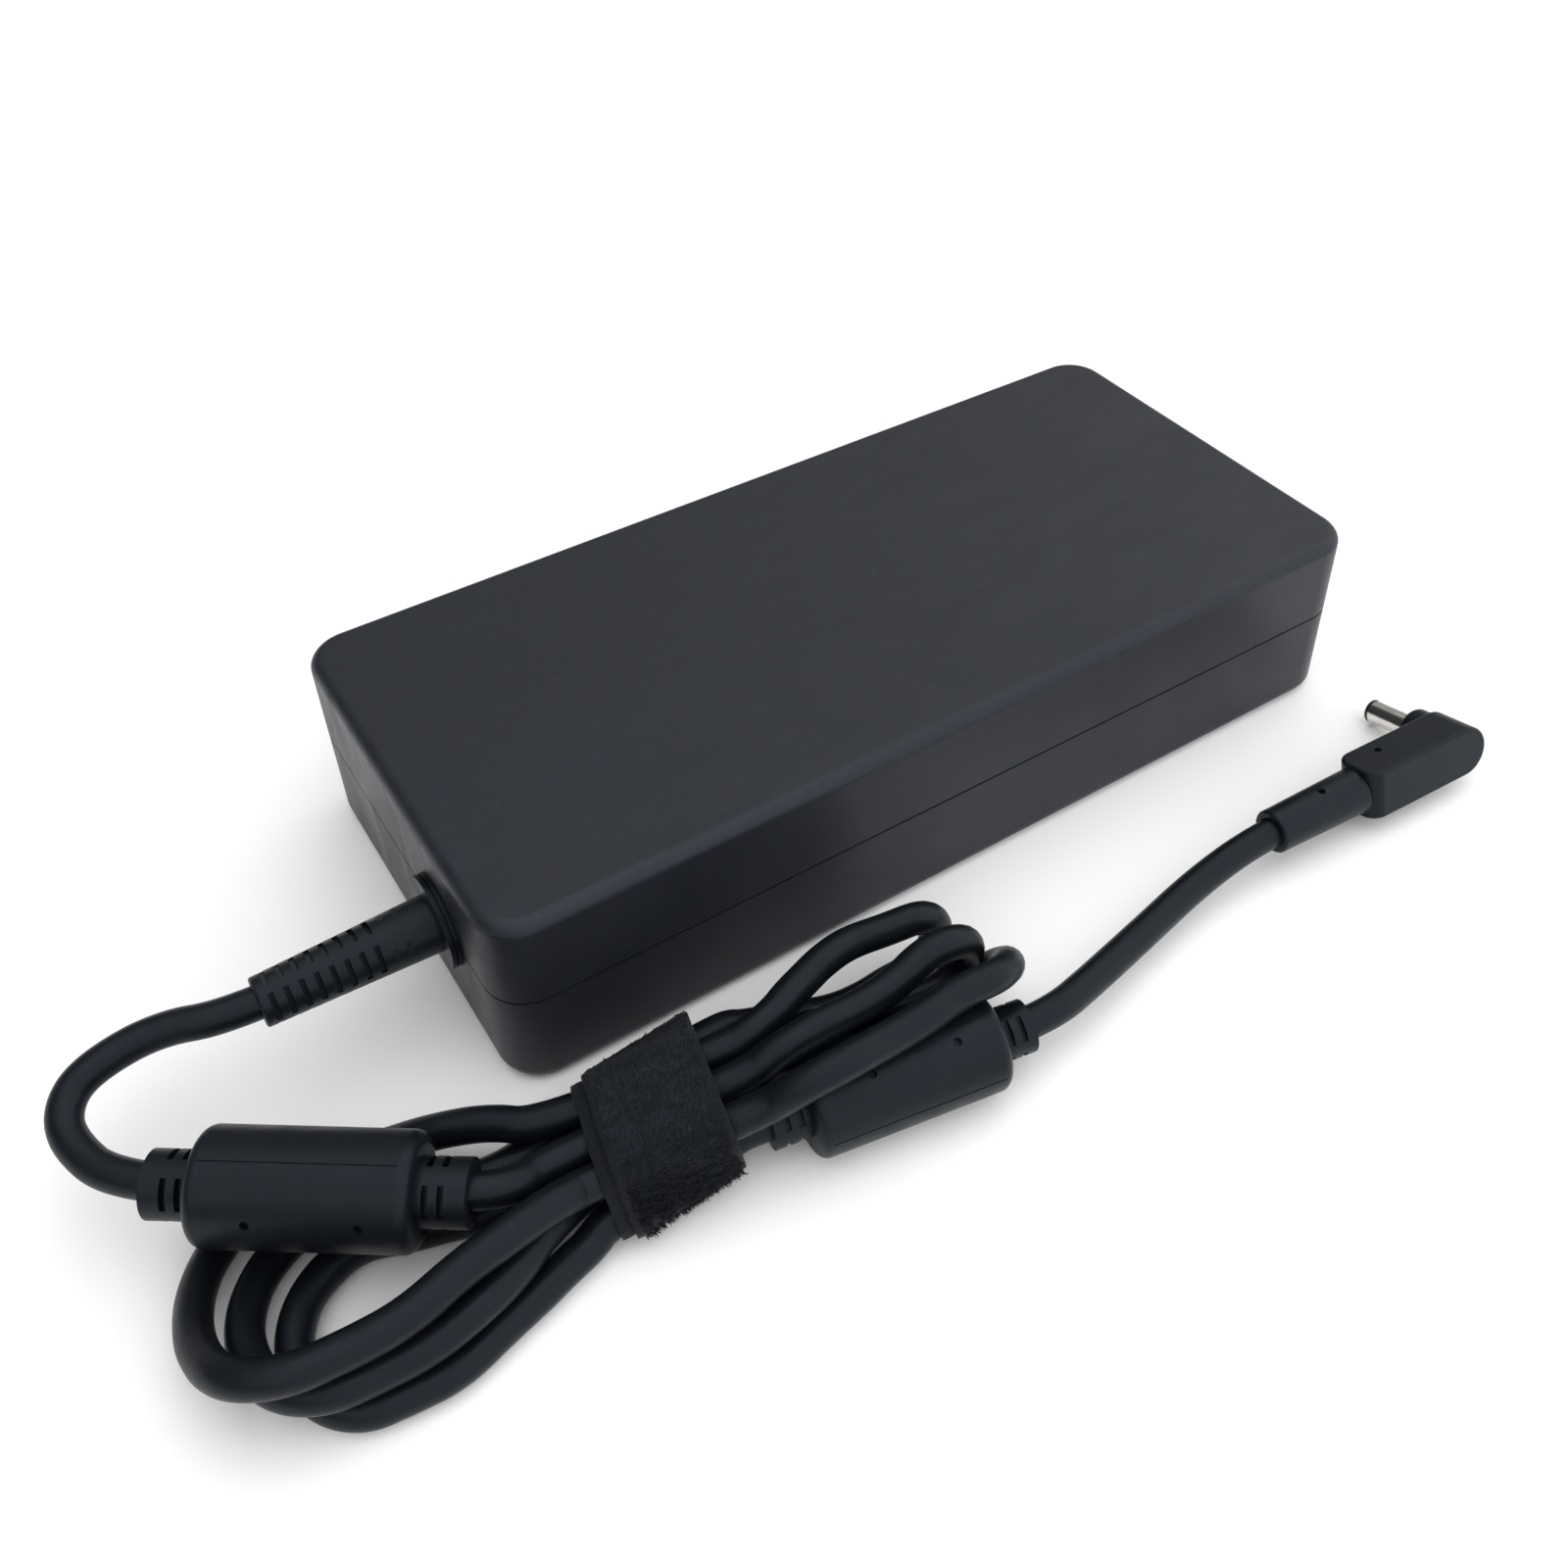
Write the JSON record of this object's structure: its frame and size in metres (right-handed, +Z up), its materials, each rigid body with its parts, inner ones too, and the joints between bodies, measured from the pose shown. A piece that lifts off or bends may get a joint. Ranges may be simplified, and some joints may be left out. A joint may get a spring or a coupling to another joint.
{
  "type": "laptop power adapter",
  "caption": "Rectangular mains power adapter with a three-pin inlet and a low-voltage cord, tied in a hank with a hook-and-loop band, that ends in a right-angle barrel plug.",
  "frame": {"origin": "middle of the case's underside", "axes": "+X along the case towards the mains inlet, +Z up, the tied cord lies on the -Y side"},
  "size_m": [0.2688, 0.1388, 0.0404],
  "materials": {
    "case_plastic": "fine matt grain",
    "inlet_plastic": "smooth matt",
    "pin_metal": "nickel plated",
    "board_laminate": "glass laminate",
    "spreader_metal": "mill finish",
    "insulation_film": "thin film and pads",
    "component_black": "moulded epoxy",
    "fuse_case": "moulded case",
    "disc_coating": "dipped coating",
    "film_capacitor_case": "moulded box",
    "capacitor_sleeve": "shrink sleeve",
    "bobbin_plastic": "moulded",
    "ferrite": "sintered",
    "winding": "enamelled wire",
    "screw_steel": "zinc plated",
    "lead_insulation": "insulated wire",
    "cord_jacket": "satin jacket",
    "moulded_rubber": "satin moulding",
    "tie_fabric": "hook and loop pile",
    "plated_metal": "nickel plated",
    "plug_plastic": "smooth"
  },
  "bodies": {
    "root": {"bottom_cover": "case_plastic", "top_cover": "case_plastic", "ac_inlet_housing": "inlet_plastic", "line_pin": "pin_metal", "neutral_pin": "pin_metal", "earth_pin": "pin_metal", "circuit_board": "board_laminate", "lower_heat_spreader": "spreader_metal", "upper_heat_spreader": "spreader_metal", "primary_heatsink": "spreader_metal", "secondary_heatsink": "spreader_metal", "lower_insulation_sheet": "insulation_film", "upper_insulation_sheet": "insulation_film", "thermal_pads": "insulation_film", "transformer_pad": "insulation_film", "bridge_rectifier": "component_black", "primary_transistors": "component_black", "output_rectifiers": "component_black", "optocouplers": "component_black", "control_chips": "component_black", "fuse": "fuse_case", "surge_absorber": "disc_coating", "y_capacitors": "disc_coating", "x_capacitor": "film_capacitor_case", "bulk_capacitors": "capacitor_sleeve", "output_capacitors": "capacitor_sleeve", "line_choke_bobbin": "bobbin_plastic", "boost_choke_bobbin": "bobbin_plastic", "transformer_bobbin": "bobbin_plastic", "line_choke_core": "ferrite", "boost_choke_core": "ferrite", "transformer_core": "ferrite", "output_choke_core": "ferrite", "first_ferrite_core": "ferrite", "second_ferrite_core": "ferrite", "line_choke_winding": "winding", "boost_choke_winding": "winding", "transformer_winding": "winding", "output_choke_winding": "winding", "heatsink_screws": "screw_steel", "inlet_leads": "lead_insulation", "output_leads": "lead_insulation", "cord_in_strain_relief": "cord_jacket", "cord_stretch_1": "cord_jacket", "cord_in_first_ferrite": "cord_jacket", "cord_hank": "cord_jacket", "cord_in_second_ferrite": "cord_jacket", "cord_stretch_2": "cord_jacket", "cord_in_plug": "cord_jacket", "dc_strain_relief": "moulded_rubber", "first_ferrite_cover": "moulded_rubber", "second_ferrite_cover": "moulded_rubber", "plug_strain_relief": "moulded_rubber", "plug_body": "moulded_rubber", "cord_tie": "tie_fabric", "plug_barrel": "plated_metal", "plug_inner_contact": "plated_metal", "plug_insulator": "plug_plastic"}
  },
  "joints": []
}
